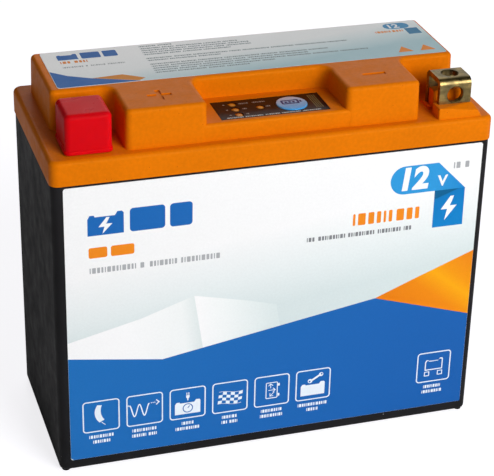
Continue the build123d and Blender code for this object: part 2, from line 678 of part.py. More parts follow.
# ------------------------------------------------------------------ assembly
def make_parts():
    """Return every sub-part by name."""
    parts = {
        "case": make_case(),
        "lid": make_lid(),
        "lid_seal": make_lid_seal(),
        "front_label": make_front_label(),
        "top_label": make_top_label(),
        "positive_terminal": make_terminal(-1),
        "negative_terminal": make_terminal(1),
        "positive_terminal_seal": make_terminal_seal(-1),
        "negative_terminal_seal": make_terminal_seal(1),
        "positive_terminal_cap": make_cap(),
        "indicator_overlay": make_overlay(),
        "test_button": make_test_button(),
        "test_switch_body": make_switch_body(),
        "test_switch_plunger": make_switch_plunger(),
        "indicator_board": make_indicator_board(),
        "indicator_leds": make_leds(),
        "indicator_screws": make_indicator_screws(),
        "lower_cell_holder": make_holder(CELL_BOTTOM),
        "upper_cell_holder": make_upper_holder(),
        "sense_wires": make_sense_wires(),
        "insulating_sheet": make_sheet(),
        "balance_board": make_balance_board(),
        "balance_screws": make_balance_screws(),
        "balance_resistors": make_on_board(RESISTOR_SIZE, [(x, y) for x in RESISTOR_X for y in RESISTOR_Y]),
        "balance_chip": make_on_board(CHIP_SIZE, [CHIP_PLACE]),
        "indicator_connector": make_on_board(CONNECTOR_SIZE, [(0.0, CONNECTOR_Y)]),
        "indicator_ribbon": make_ribbon(),
        "positive_lead": make_lead(-1),
        "negative_lead": make_lead(1),
        "base_foam": make_base_foam(),
        "left_foam": make_end_foam(-1),
        "right_foam": make_end_foam(1),
    }
    for column in range(CELL_COLUMNS):
        for row in (0, 1):
            parts[f"cell_{2 * column + row + 1}"] = make_cell(column, row)
    lower = BASE_FOAM_TOP
    busbars = ((0, 0, CELL_TOP), (0, 1, lower), (1, 2, CELL_TOP), (2, 3, lower), (3, 3, CELL_TOP))
    for number, (first, last, bottom) in enumerate(busbars, start=1):
        parts[f"busbar_{number}"] = make_busbar(first, last, bottom)
    return parts


os.makedirs("parts", exist_ok=True)
for name, shape in make_parts().items():
    export_step(shape, f"parts/{name}.step")
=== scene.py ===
import json
import math

import bmesh
import bpy
from mathutils import Matrix, Vector

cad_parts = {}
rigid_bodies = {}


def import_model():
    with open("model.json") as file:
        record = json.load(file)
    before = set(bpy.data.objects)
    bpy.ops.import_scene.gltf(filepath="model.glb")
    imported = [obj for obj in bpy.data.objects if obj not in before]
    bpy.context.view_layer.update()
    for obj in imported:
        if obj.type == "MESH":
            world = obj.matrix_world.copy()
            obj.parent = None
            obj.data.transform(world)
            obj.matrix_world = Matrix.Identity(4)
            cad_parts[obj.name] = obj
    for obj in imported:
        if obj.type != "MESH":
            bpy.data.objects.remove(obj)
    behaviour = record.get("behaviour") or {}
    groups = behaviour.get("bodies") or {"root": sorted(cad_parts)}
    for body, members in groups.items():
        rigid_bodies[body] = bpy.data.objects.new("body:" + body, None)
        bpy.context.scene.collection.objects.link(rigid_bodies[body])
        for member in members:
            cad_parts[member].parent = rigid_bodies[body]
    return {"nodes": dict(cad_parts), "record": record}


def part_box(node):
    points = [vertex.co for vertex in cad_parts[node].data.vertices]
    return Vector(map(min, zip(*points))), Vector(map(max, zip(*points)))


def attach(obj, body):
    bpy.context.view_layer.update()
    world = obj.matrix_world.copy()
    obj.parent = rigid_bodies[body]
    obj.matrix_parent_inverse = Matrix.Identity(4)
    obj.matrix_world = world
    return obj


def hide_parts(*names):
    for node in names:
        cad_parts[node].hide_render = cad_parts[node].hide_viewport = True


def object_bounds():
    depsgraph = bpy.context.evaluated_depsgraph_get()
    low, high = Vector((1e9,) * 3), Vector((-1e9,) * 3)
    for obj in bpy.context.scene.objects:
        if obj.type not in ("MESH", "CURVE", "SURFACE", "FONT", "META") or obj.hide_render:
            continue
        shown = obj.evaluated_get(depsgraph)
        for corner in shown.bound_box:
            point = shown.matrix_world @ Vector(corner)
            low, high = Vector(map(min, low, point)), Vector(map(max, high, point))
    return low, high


# The looks of a 12 V motorcycle battery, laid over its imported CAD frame.
# Everything is in metres, in the CAD frame.  Print layouts are in millimetres from a label's lower
# left corner.

for leftover in list(bpy.data.objects):
    bpy.data.objects.remove(leftover)

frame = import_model()
nodes = frame["nodes"]
cad_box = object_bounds()

MM = 0.001

# one printed layer of ink, and how far it reaches into what is under it
INK = 0.012 * MM
INK_SUNK = 0.002 * MM

# points of a mesh that are closer than this are one point
MERGE = 1e-7


# ------------------------------------------------------------------ colours
def srgb(code):
    """Return the linear colour of a six-digit hex code."""
    channels = [int(code[i : i + 2], 16) / 255 for i in (0, 2, 4)]
    return tuple(c / 12.92 if c <= 0.04045 else ((c + 0.055) / 1.055) ** 2.4 for c in channels) + (1.0,)


def shade(colour, amount):
    """Return a colour made lighter or darker by a factor."""
    return tuple(min(1.0, c * amount) for c in colour[:3]) + (1.0,)


ORANGE_PLASTIC = srgb("E37705")
BLACK_PLASTIC = srgb("19181A")
CAP_RED = srgb("E80A16")
LABEL_WHITE = srgb("F6F6F6")
LABEL_TEAL = srgb("D6E2E2")
PRINT_BLUE = srgb("1B66B3")
PILL_BLUE = srgb("2F97D8")
TAIL_BLUE = srgb("0A78BE")
PRINT_ORANGE = srgb("F08A1C")
PRINT_GREY = srgb("A9ABAE")
ICON_WHITE = srgb("ECF4FC")


# ------------------------------------------------------------------ material building
class Finish:
    """A new material: a Principled shader, and short calls that put nodes in front of it."""

    def __init__(self, name, settings=None):
        self.material = bpy.data.materials.new(name)
        self.material.use_nodes = True
        self.tree = self.material.node_tree
        self.shader = self.tree.nodes["Principled BSDF"]
        for socket, value in (settings or {}).items():
            self.shader.inputs[socket].default_value = value
        self.place = self.add("ShaderNodeTexCoord").outputs["Object"]

    def add(self, kind, inputs=None, **settings):
        """Add a node; an input is a value or another node's output."""
        node = self.tree.nodes.new(kind)
        for key, value in settings.items():
            setattr(node, key, value)
        for socket, value in (inputs or {}).items():
            if isinstance(value, bpy.types.NodeSocket):
                self.tree.links.new(value, node.inputs[socket])
            else:
                node.inputs[socket].default_value = value
        return node

    def link(self, output, socket):
        """Link a node's output to one of the shader's inputs."""
        self.tree.links.new(output, self.shader.inputs[socket])

    def stretched(self, scale):
        """Return the object's own coordinates, scaled along each axis."""
        return self.add("ShaderNodeMapping", {"Vector": self.place, "Scale": scale}).outputs["Vector"]

    def noise(self, scale, detail=3.0, stretch=None):
        """Return noise from 0 to 1, with scale patches to the metre."""
        where = self.stretched(stretch) if stretch else self.place
        inputs = {"Vector": where, "Scale": scale, "Detail": detail}
        return self.add("ShaderNodeTexNoise", inputs).outputs["Fac"]

    def specks(self, scale, size):
        """Return 1 in small round specks and 0 between them."""
        cells = self.add("ShaderNodeTexVoronoi", {"Vector": self.place, "Scale": scale})
        near = self.math("LESS_THAN", cells.outputs["Distance"], size)
        rare = self.add("ShaderNodeSeparateColor", {"Color": cells.outputs["Color"]})
        return self.math("MULTIPLY", near, self.math("GREATER_THAN", rare.outputs["Red"], 0.86))

    def math(self, operation, first, second):
        """Return the result of one sum on two numbers or outputs."""
        return self.add("ShaderNodeMath", {0: first, 1: second}, operation=operation).outputs["Value"]

    def ramp(self, factor, stops):
        """Return the colour at factor along a list of (position, colour)."""
        node = self.add("ShaderNodeValToRGB", {"Fac": factor})
        band = node.color_ramp.elements
        while len(band) < len(stops):
            band.new(0.5)
        for element, (position, colour) in zip(band, stops):
            element.position = position
            element.color = colour
        return node.outputs["Color"]

    def mix(self, factor, first, second, blend="MIX"):
        """Return a blend of two colours; the Mix node's colour sockets are numbers 6 and 7."""
        inputs = {"Factor": factor, 6: first, 7: second}
        return self.add("ShaderNodeMix", inputs, data_type="RGBA", blend_type=blend).outputs[2]

    def between(self, factor, low, high):
        """Return factor, which lies mostly from 0.3 to 0.7, spread from low to high."""
        inputs = {"Value": factor, "From Min": 0.3, "From Max": 0.7, "To Min": low, "To Max": high}
        return self.add("ShaderNodeMapRange", inputs).outputs["Result"]

    def along(self, start, end):
        """Return 0 at the point start, 1 at the point end and beyond, and a straight run between them."""
        run = Vector(end) - Vector(start)
        offset = self.add("ShaderNodeVectorMath", {0: self.place, 1: start}, operation="SUBTRACT")
        step = run / run.length_squared
        parts = {0: offset.outputs["Vector"], 1: step}
        share = self.add("ShaderNodeVectorMath", parts, operation="DOT_PRODUCT")
        return self.add("ShaderNodeClamp", {"Value": share.outputs["Value"]}).outputs["Result"]

    def bumps(self, *layers):
        """Chain bumps from (height, strength, depth in metres) and link them to the shader."""
        normal = None
        for height, strength, depth in layers:
            node = self.add("ShaderNodeBump", {"Height": height, "Strength": strength, "Distance": depth})
            if normal:
                self.tree.links.new(normal, node.inputs["Normal"])
            normal = node.outputs["Normal"]
        self.link(normal, "Normal")


def mottled(finish, colour, scale, spread, stretch=None):
    """Return a colour that wanders a little about the one given."""
    factor = finish.noise(scale, 4.0, stretch)
    return finish.ramp(factor, [(0.3, shade(colour, 1 - spread)), (0.7, shade(colour, 1 + spread))])


# ------------------------------------------------------------------ materials of the outside
def case_plastic():
    """Black polypropylene with a fine sparked texture and a few light specks."""
    f = Finish("case_plastic", {"Specular IOR Level": 0.14})
    base = mottled(f, BLACK_PLASTIC, 40, 0.25)
    dust = f.mix(f.specks(420, 0.09), base, srgb("8A8A8C"))
    f.link(dust, "Base Color")
    f.link(f.between(f.noise(180, 5), 0.42, 0.6), "Roughness")
    f.bumps((f.noise(2600, 2), 0.35, 0.00006), (f.noise(60, 2), 0.08, 0.0004))
    return f.material


def lid_plastic():
    """Orange moulding with a satin, faintly grained surface and slight tone changes."""
    f = Finish("lid_plastic", {"Specular IOR Level": 0.12, "Specular Tint": srgb("FFC060")})
    broad = mottled(f, ORANGE_PLASTIC, 35, 0.05)
    grain = f.ramp(f.noise(900, 4), [(0.35, srgb("D0D0D0")), (0.65, srgb("FFFFFF"))])
    toned = f.mix(0.2, broad, grain, "MULTIPLY")
    specks = f.mix(f.specks(650, 0.1), toned, srgb("C25A08"))
    f.link(specks, "Base Color")
    f.link(f.between(f.noise(260, 4), 0.34, 0.5), "Roughness")
    f.bumps((f.noise(2600, 3), 0.18, 0.00004), (f.noise(220, 2), 0.08, 0.0001))
    return f.material


def cap_plastic():
    """Glossy red soft PVC, slightly uneven as a dipped cap is."""
    settings = {"Specular IOR Level": 0.08, "Specular Tint": srgb("FF9090")}
    settings |= {"Subsurface Weight": 0.7, "Subsurface Scale": 0.004}
    f = Finish("cap_plastic", settings)
    f.link(mottled(f, CAP_RED, 90, 0.07), "Base Color")
    f.link(f.between(f.noise(150, 3), 0.26, 0.4), "Roughness")
    f.bumps((f.noise(1400, 2), 0.12, 0.00004), (f.noise(90, 2), 0.2, 0.0003))
    return f.material


def terminal_brass():
    """Bent brass strip, drawn along its length, with olive tarnish and brighter rubbed patches."""
    f = Finish("terminal_brass", {"Metallic": 1.0})
    streaks = f.noise(1500, 3, (0.08, 1.0, 1.0))
    base = f.ramp(f.noise(220, 5), [(0.3, srgb("5C5138")), (0.52, srgb("84744C")), (0.72, srgb("B99C5E"))])
    toned = f.mix(0.5, base, f.ramp(streaks, [(0.3, srgb("B0A890")), (0.7, srgb("FFFFFF"))]), "MULTIPLY")
    f.link(toned, "Base Color")
    f.link(f.between(f.noise(420, 4), 0.24, 0.44), "Roughness")
    f.bumps((streaks, 0.18, 0.00003), (f.noise(300, 3), 0.12, 0.0001))
    return f.material


def film(name, colour_at, roughness=(0.3, 0.42), settings=None):
    """A printed film with a faint orange-peel gloss; colour_at puts the print's colour on the finish."""
    f = Finish(name, {"Specular IOR Level": 0.12, **(settings or {})})
    grain = f.ramp(f.noise(1300, 2), [(0.35, srgb("F7F7F7")), (0.65, srgb("FFFFFF"))])
    f.link(f.mix(0.4, colour_at(f), grain, "MULTIPLY"), "Base Color")
    f.link(f.between(f.noise(240, 3), *roughness), "Roughness")
    f.bumps((f.noise(700, 2), 0.05, 0.00004))
    return f.material


def even(colour):
    """Return a colour_at for one ink that is almost even."""
    return lambda f: mottled(f, colour, 70, 0.025)


def fading(stops, start, end):
    """Return a colour_at for inks that run into each other from the point start to the point end."""
    return lambda f: f.ramp(f.along(start, end), stops)


def overlay_film():
    """The indicator's dark, glossy face film."""
    dark = [(0.3, srgb("1A0A09")), (0.7, srgb("28110E"))]

    def colour_at(f):
        return f.ramp(f.noise(160, 3), dark)

    return film("overlay_film", colour_at, (0.14, 0.26), {"Specular IOR Level": 0.08})


def button_plastic():
    """Pale blue, glossy button, lighter at its back."""
    low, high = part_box("test_button")
    stops = [(0.1, srgb("3F9FE4")), (0.5, srgb("86B8E0")), (0.9, srgb("C9C4CE"))]
    front = (0.0, low.y, 0.0)
    back = (0.0, high.y, 0.0)
    coat = {"Coat Weight": 0.4, "Coat Roughness": 0.1}
    return film("button_plastic", fading(stops, front, back), (0.2, 0.32), coat)


def amber_lens():
    """Unlit amber lenses, their tone a little uneven."""
    f = Finish("amber_lens", {"Coat Weight": 0.5, "Coat Roughness": 0.08, "Transmission Weight": 0.15})
    f.link(mottled(f, srgb("D98A1E"), 900, 0.16), "Base Color")
    f.link(f.between(f.noise(700, 2), 0.22, 0.36), "Roughness")
    f.bumps((f.noise(900, 2), 0.1, 0.00005))
    return f.material


# ------------------------------------------------------------------ materials of the inside
def plain_finish(name, colour, scale, roughness, bump, metallic=0.0, stretch=None):
    """A moulded, woven or rolled material with its own grain."""
    f = Finish(name, {"Metallic": metallic})
    f.link(mottled(f, colour, scale, 0.14, stretch), "Base Color")
    f.link(f.between(f.noise(scale * 3, 3, stretch), *roughness), "Roughness")
    f.bumps((f.noise(scale * 9, 3, stretch), 0.3, bump))
    return f.material


def board_laminate():
    """Green circuit board with paler tracks under the solder mask."""
    f = Finish("board_laminate", {"Coat Weight": 0.3, "Coat Roughness": 0.2})
    tracks = f.add("ShaderNodeTexBrick", {"Vector": f.place, "Scale": 170.0, "Mortar Size": 0.03})
    lines = f.ramp(tracks.outputs["Fac"], [(0.4, srgb("17613A")), (0.6, srgb("3C8A58"))])
    f.link(lines, "Base Color")
    f.link(f.between(f.noise(400, 3), 0.3, 0.45), "Roughness")
    f.bumps((tracks.outputs["Fac"], 0.3, 0.00004))
    return f.material


def foam():
    """Closed-cell foam: dark, with a pitted skin."""
    f = Finish("foam")
    cells = f.add("ShaderNodeTexVoronoi", {"Vector": f.place, "Scale": 900.0}).outputs["Distance"]
    f.link(f.ramp(cells, [(0.0, srgb("2A2A2C")), (0.8, srgb("4A4A4D"))]), "Base Color")
    f.link(f.between(f.noise(500, 3), 0.8, 0.95), "Roughness")
    f.bumps((cells, 0.8, 0.0003))
    return f.material


def cell_sleeve():
    """Blue shrink sleeve with the faint upright wrinkles of heat shrinking."""
    f = Finish("cell_can", {"Coat Weight": 0.3, "Coat Roughness": 0.15})
    wrinkles = f.noise(260, 3, (1.0, 1.0, 0.12))
    f.link(f.ramp(wrinkles, [(0.3, srgb("1F4E96")), (0.7, srgb("2F6CC0"))]), "Base Color")
    f.link(f.between(f.noise(300, 3), 0.25, 0.4), "Roughness")
    f.bumps((wrinkles, 0.3, 0.0002))
    return f.material


def inside_finishes():
    """Return the finish of each material slot that is closed in by the container."""
    return {
        "sealant": plain_finish("sealant", srgb("161617"), 300, (0.4, 0.55), 0.0001),
        "seal_rubber": plain_finish("seal_rubber", srgb("262626"), 400, (0.6, 0.75), 0.0001),
        "switch_plastic": plain_finish("switch_plastic", srgb("1C1C1E"), 500, (0.4, 0.55), 0.00005),
        "board_laminate": board_laminate(),
        "screw_steel": plain_finish("screw_steel", srgb("B9BCC2"), 900, (0.25, 0.4), 0.00004, 1.0),
        "holder_plastic": plain_finish("holder_plastic", srgb("2B2B2E"), 250, (0.45, 0.6), 0.0001),
        "wire_insulation": plain_finish("wire_insulation", srgb("DAD8D0"), 300, (0.35, 0.5), 0.00005),
        "insulating_board": plain_finish("insulating_board", srgb("93ABA6"), 500, (0.7, 0.85), 0.0001),
        "component_plastic": plain_finish("component_plastic", srgb("1D1D1D"), 600, (0.45, 0.6), 0.00005),
        "lead_copper": plain_finish(
            "lead_copper", srgb("D08A62"), 400, (0.25, 0.4), 0.00005, 1.0, (1, 1, 0.1)
        ),
        "foam": foam(),
        "cell_can": cell_sleeve(),
        "nickel": plain_finish("nickel", srgb("C2BDB2"), 400, (0.25, 0.4), 0.00004, 1.0, (0.1, 1, 1)),
    }


# ------------------------------------------------------------------ flat shapes, as groups of loops
def rounded(u0, v0, u1, v1, r, steps=6):
    """Return one loop: a rectangle with round corners."""
    corners = ((u1 - r, v1 - r, 0), (u0 + r, v1 - r, 90), (u0 + r, v0 + r, 180), (u1 - r, v0 + r, 270))
    loop = []
    for u, v, start in corners:
        for step in range(steps + 1):
            angle = math.radians(start + 90 * step / steps)
            loop.append((u + r * math.cos(angle), v + r * math.sin(angle)))
    return loop


def disc(u, v, r, steps=40):
    """Return one loop: a circle."""
    angles = [2 * math.pi * step / steps for step in range(steps)]
    return [(u + r * math.cos(a), v + r * math.sin(a)) for a in angles]


def framed(u0, v0, u1, v1, r, width):
    """Return a group: the outline of a rounded rectangle, of the width given."""
    outer = rounded(u0, v0, u1, v1, r)
    return [outer, rounded(u0 + width, v0 + width, u1 - width, v1 - width, max(r - width, 0.05))]


def stroke(points, width):
    """Return a group of one loop: an open line of the width given, with mitred corners."""
    line = [Vector(p) for p in points]
    sides = []
    for i, here in enumerate(line):
        before = (here - line[i - 1]).normalized() if i else (line[1] - here).normalized()
        after = (line[i + 1] - here).normalized() if i + 1 < len(line) else before
        normals = [Vector((-d.y, d.x)) for d in (before, after)]
        mitre = (normals[0] + normals[1]).normalized()
        sides.append(mitre * (width / 2 / max(mitre.dot(normals[0]), 0.35)))
    left = [tuple(p + s) for p, s in zip(line, sides)]
    right = [tuple(p - s) for p, s in zip(line, sides)]
    return [left + right[::-1]]


def moved(groups, du, dv):
    """Return groups moved to another place."""
    return [[[(u + du, v + dv) for u, v in loop] for loop in group] for group in groups]


def word_blocks(u, v, width, height, seed=0):
    """Return groups that stand for a word of small print: a row of upright bars, without letters."""
    groups = []
    at = u
    count = seed
    while at < u + width - 0.2 * height:
        bar = height * (0.2 + 0.14 * (count * 7 % 4))
        end = min(at + bar, u + width)
        groups.append([rounded(at, v, end, v + height, 0.08 * height, 2)])
        at = end + 0.22 * height
        count += 1
    return groups


def text_line(u, v, words, height, gap=0.7):
    """Return groups for a line of small print, given the words' widths; gap is in heights."""
    groups = []
    for number, width in enumerate(words):
        groups += word_blocks(u, v, width, height, number)
        u += width + gap * height
    return groups


def centred_line(centre, v, words, height, gap=0.7):
    """Return groups for a line of small print that is centred on a place."""
    total = sum(words) + gap * height * (len(words) - 1)
    return text_line(centre - total / 2, v, words, height, gap)


def battery_body(u0, v0, u1, v1):
    """Return one loop: a battery seen from the front, with a stepped top and two posts."""
    step = 0.1 * (v1 - v0)
    post = 0.16 * (u1 - u0)
    return [
        (u0, v0),
        (u1, v0),
        (u1, v1 + step),
        (u1 - 0.3 * post, v1 + 2 * step),
        (u1 - 1.1 * post, v1 + 2 * step),
        (u1 - 1.5 * post, v1),
        (u0 + 1.3 * post, v1),
        (u0 + 1.1 * post, v1 + step),
        (u0 + 0.4 * post, v1 + step),
        (u0, v1 - step),
    ]


# ------------------------------------------------------------------ pictograms, each in a box of 12.9 by 12.4
BOX_WIDTH = 12.9
BOX_HEIGHT = 12.4


def arc(centre, radius, first, last, steps=14):
    """Return points on an arc between two angles in degrees."""
    angles = [math.radians(first + (last - first) * step / steps) for step in range(steps + 1)]
    return [(centre[0] + radius * math.cos(a), centre[1] + radius * math.sin(a)) for a in angles]


def feather_icon():
    """A feather: a crescent with a slit and a quill."""
    outer = arc((9.7, 7.6), 5.5, 146, 226)
    inner = arc((12.2, 8.2), 5.9, 218, 158)
    quill = stroke([(6.55, 3.75), (7.1, 3.1), (7.9, 2.5)], 0.22)
    return [[outer + inner], quill]


def wave_icon():
    """A falling and rising line that goes on as dots to an arrow."""
    steps = 40
    shares = [step / steps for step in range(steps + 1)]
    wave = [(1.1 + 7.0 * share, 6.2 + 2.3 * math.cos(4 * math.pi * share)) for share in shares]
    dots = [[rounded(8.6 + 0.62 * i, 8.35, 8.95 + 0.62 * i, 8.7, 0.1, 2)] for i in range(3)]
    head = stroke([(10.5, 9.5), (11.5, 8.52), (10.5, 7.55)], 0.42)
    lead_in = stroke([(0.5, 8.5), (1.0, 8.5)], 0.4)
    return [stroke(wave, 0.42), *dots, head, lead_in]


def charge_icon():
    """A battery with a dial on its front and a plug above it; the dial's hand is apart, for another ink."""
    body = battery_body(1.9, 1.9, 11.0, 6.4)
    dial = [body, disc(6.5, 4.2, 1.85), disc(6.5, 4.2, 1.5)]
    hand = stroke([(6.5, 4.25), (7.2, 5.1)], 0.26)
    plug = [[(5.9, 9.4), (7.1, 9.4), (7.1, 8.5), (6.7, 8.0), (6.7, 7.3), (6.3, 7.3), (6.3, 8.0), (5.9, 8.5)]]
    prongs = [[rounded(u, 9.5, u + 0.3, 10.5, 0.1, 2)] for u in (6.0, 6.7)]
    return [dial, plug, *prongs], hand


def flag_icon():
    """A waving chequered flag."""
    columns = 6
    rows = 4
    start = 0.01
    end = 0.99

    def at(column, row):
        u = 2.0 + 8.6 * column / columns + 0.12 * row
        v = 3.6 + 1.15 * row + 0.4 * math.sin(math.pi * (0.3 + 1.6 * column / columns))
        return (u, v)

    groups = []
    for column in range(columns):
        for row in range(rows):
            if (column + row) % 2 == 0:
                corners = ((start, start), (end, start), (end, end), (start, end))
                groups.append([[at(column + across, row + up) for across, up in corners]])
    for row in (-0.1, rows + 0.1):
        groups.append(stroke([at(i / 4, row) for i in range(4 * columns + 1)], 0.14))
    return groups


def arrow(start, end, width):
    """Return groups: a straight line with an open head."""
    a = Vector(start)
    b = Vector(end)
    along = (b - a).normalized()
    across = Vector((-along.y, along.x))
    wing = 0.85
    head = [tuple(b - along * wing + across * wing), tuple(b), tuple(b - along * wing - across * wing)]
    return [stroke([start, tuple(b - along * 0.25)], width), stroke(head, width)]


def positions_icon():
    """A battery standing on end, with arrows for the ways it may lie."""
    outline = framed(4.2, 3.0, 8.6, 9.6, 0.5, 0.32)
    posts = [[rounded(8.65, v, 9.3, v + 1.1, 0.15, 2)] for v in (3.7, 7.8)]
    arrows = arrow((5.2, 6.4), (7.7, 6.4), 0.26) + arrow((6.0, 7.2), (6.0, 9.0), 0.26)
    return [outline, *posts, *arrows, *arrow((7.4, 5.6), (5.8, 4.0), 0.26)]


def service_icon():
    """A battery with a spanner over it."""
    body = [battery_body(1.9, 1.9, 10.8, 6.2)]
    handle = stroke([(6.0, 8.0), (8.6, 9.6)], 0.75)
    lower_end = [disc(5.3, 7.75, 0.85, 18), disc(5.1, 7.6, 0.38, 12)]
    upper_end = [disc(9.3, 9.95, 0.8, 18), disc(9.5, 10.1, 0.36, 12)]
    return [body, handle, lower_end, upper_end]


def spacer_icon():
    """A battery standing on two spacers."""
    outer = battery_body(3.1, 4.9, 9.9, 8.8)
    inner = battery_body(3.5, 5.3, 9.5, 8.5)
    pads = [framed(u, 2.5, u + 2.0, 4.4, 0.2, 0.32) for u in (3.0, 8.0)]
    return [[outer, inner], *pads]


# ------------------------------------------------------------------ laying ink on the faces
class Face:
    """A printed face: turns a print's place in millimetres and a height above the face into a point."""

    def __init__(self, origin, across, up, out):
        self.origin = Vector(origin)
        self.across = Vector(across)
        self.up = Vector(up)
        self.out = Vector(out)

    def point(self, u, v, height=0.0):
        """Return the point at a place on the face, height metres out from it."""
        return self.origin + self.across * (u * MM) + self.up * (v * MM) + self.out * height


def filled(groups):
    """Return a bmesh of flat, filled slabs, one unit thick, from groups of loops."""
    made = bmesh.new()
    for group in groups:
        curve = bpy.data.curves.new("loops", "CURVE")
        curve.dimensions = "2D"
        curve.fill_mode = "BOTH"
        curve.extrude = 0.5
        for loop in group:
            spline = curve.splines.new("POLY")
            spline.points.add(len(loop) - 1)
            for point, (u, v) in zip(spline.points, loop):
                point.co = (u, v, 0.0, 1.0)
            spline.use_cyclic_u = True
        add_curve(made, curve)
    return made


def add_curve(made, curve):
    """Add a curve's mesh to a bmesh and delete the curve."""
    holder = bpy.data.objects.new("loops", curve)
    mesh = bpy.data.meshes.new_from_object(holder)
    made.from_mesh(mesh)
    bpy.data.objects.remove(holder)
    bpy.data.meshes.remove(mesh)
    bpy.data.curves.remove(curve)


def figures(text, u, v, height, weight=0.0, slant=0.0):
    """Return a bmesh of generic figures, their lower left corner at u, v."""
    curve = bpy.data.curves.new("figures", "FONT")
    curve.body = text
    curve.size = height / 0.72
    curve.shear = slant
    curve.offset = weight
    curve.extrude = 0.5
    curve.fill_mode = "BOTH"
    made = bmesh.new()
    add_curve(made, curve)
    left = min(vertex.co.x for vertex in made.verts)
    low = min(vertex.co.y for vertex in made.verts)
    for vertex in made.verts:
        vertex.co.x += u - left
        vertex.co.y += v - low
    return made


def add_piece(name, made, material, body):
    """Turn a bmesh into a closed, named piece that rides on a body."""
    bmesh.ops.remove_doubles(made, verts=made.verts, dist=MERGE)
    bmesh.ops.recalc_face_normals(made, faces=made.faces)
    mesh = bpy.data.meshes.new(name)
    made.to_mesh(mesh)
    made.free()
    mesh.materials.append(material)
    piece = bpy.data.objects.new(name, mesh)
    bpy.context.scene.collection.objects.link(piece)
    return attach(piece, body)


def lay(name, shapes, face, level, material, body="battery"):
    """Lay one ink on a face as a thin closed solid.  shapes is a list of groups or a ready bmesh."""
    made = filled(shapes) if isinstance(shapes, list) else shapes
    for vertex in made.verts:
        top = vertex.co.z > 0
        height = level * INK if top else (level - 1) * INK - INK_SUNK
        vertex.co = face.point(vertex.co.x, vertex.co.y, height)
    return add_piece(name, made, material, body)


# ------------------------------------------------------------------ front label
PRINT_WIDTH = 144.3
PRINT_HEIGHT = 102.7
ICON_PITCH = 15.25
ICON_FIRST = 4.4
ICON_BOTTOM = 10.1
ICON_LINE = 0.42


def front_face():
    """Return the front label's face: u runs along +X from its left edge, v up from its lower edge."""
    low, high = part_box("front_label")
    across = (high.x - low.x) / MM / PRINT_WIDTH
    up = (high.z - low.z) / MM / PRINT_HEIGHT
    return Face((low.x, low.y, low.z), (across, 0, 0), (0, 0, up), (0, -1, 0))


def front_base_film():
    """White film that turns to a pale grey-green towards the middle of the label."""
    face = front_face()
    stops = [(0.0, LABEL_TEAL), (0.35, srgb("E6EDED")), (0.8, LABEL_WHITE)]
    start = face.point(55, 48)
    end = face.point(50, 84)
    return film("front_label_film", fading(stops, start, end))


def lay_front_facets(face):
    """The folded-paper facets: two pale ones, the blue field and the orange wedge."""
    edge = 0.03
    right = PRINT_WIDTH - edge
    blue_top = [(edge, 40.3), (32.4, 35.3), (108.5, 47.8), (right, 36.6)]
    crease = [(edge, 46.3), (25.0, 52.1), (43.4, 58.2)]
    fold = (46.6, 37.6)
    wedge = [*blue_top[2:], (right, 61.9), (122.4, 53.4)]
    wedge_stops = [
        (0.0, srgb("E87C08")),
        (0.4, srgb("F08A0A")),
        (0.62, srgb("F9A80A")),
        (0.75, srgb("F4980C")),
        (1.0, srgb("EC8710")),
    ]
    facets = (
        (
            "label_facet_left",
            [*blue_top[:2], fold, *crease[::-1]],
            [(0.0, srgb("FBFBFB")), (0.75, srgb("F3F6F5")), (1.0, srgb("DFE8E7"))],
            (20, 46),
            (46, 49),
        ),
        (
            "label_facet_right",
            [fold, (74.0, 42.1), (72.5, 50.7), (62.5, 53.6), crease[2]],
            [(0.0, srgb("FAFAFA")), (0.35, srgb("F2F6F5")), (1.0, srgb("DCE7E6"))],
            (46, 44),
            (72, 46),
        ),
        (
            "label_blue_field",
            [(0.9, edge), (right, edge), *blue_top[::-1], (edge, 0.9)],
            [(0.0, srgb("1F6FBA")), (0.5, PRINT_BLUE), (1.0, srgb("195FAE"))],
            (0, 0),
            (right, 0),
        ),
        ("label_orange_wedge", wedge, wedge_stops, (118, 40), (138, 64)),
    )
    for name, outline, stops, start, end in facets:
        colour = fading(stops, face.point(*start), face.point(*end))
        lay(name, [[outline]], face, 1, film(name, colour))


def lay_front_heading(face):
    """Upper left: a plain battery sign and bars where a heading and two lines of text would be."""
    blue = film("print_blue", even(PRINT_BLUE))
    orange = film("print_orange", even(PRINT_ORANGE))
    grey = film("print_grey", even(PRINT_GREY))
    body = battery_body(7.6, 85.0, 19.6, 91.6)
    bolt = [(13.9, 91.2), (11.2, 87.9), (13.2, 87.9), (12.5, 85.4), (15.9, 88.9), (13.8, 88.9), (15.0, 91.2)]
    bars = [[rounded(21.6, 85.0, 33.4, 93.4, 1.2)], [rounded(35.0, 85.0, 42.6, 93.4, 1.2)]]
    lay("heading_sign", [[body, bolt], *bars], face, 1, blue)
    line = [[rounded(7.8, 76.9, 14.0, 80.7, 0.7)], [rounded(15.2, 76.9, 23.0, 80.7, 0.7)]]
    lay("heading_orange_line", line, face, 1, orange)
    small = text_line(8.0, 71.3, (15.6, 1.8, 9.2, 13.4), 2.0)
    lay("heading_grey_line", small, face, 1, grey)
    return blue, orange, grey


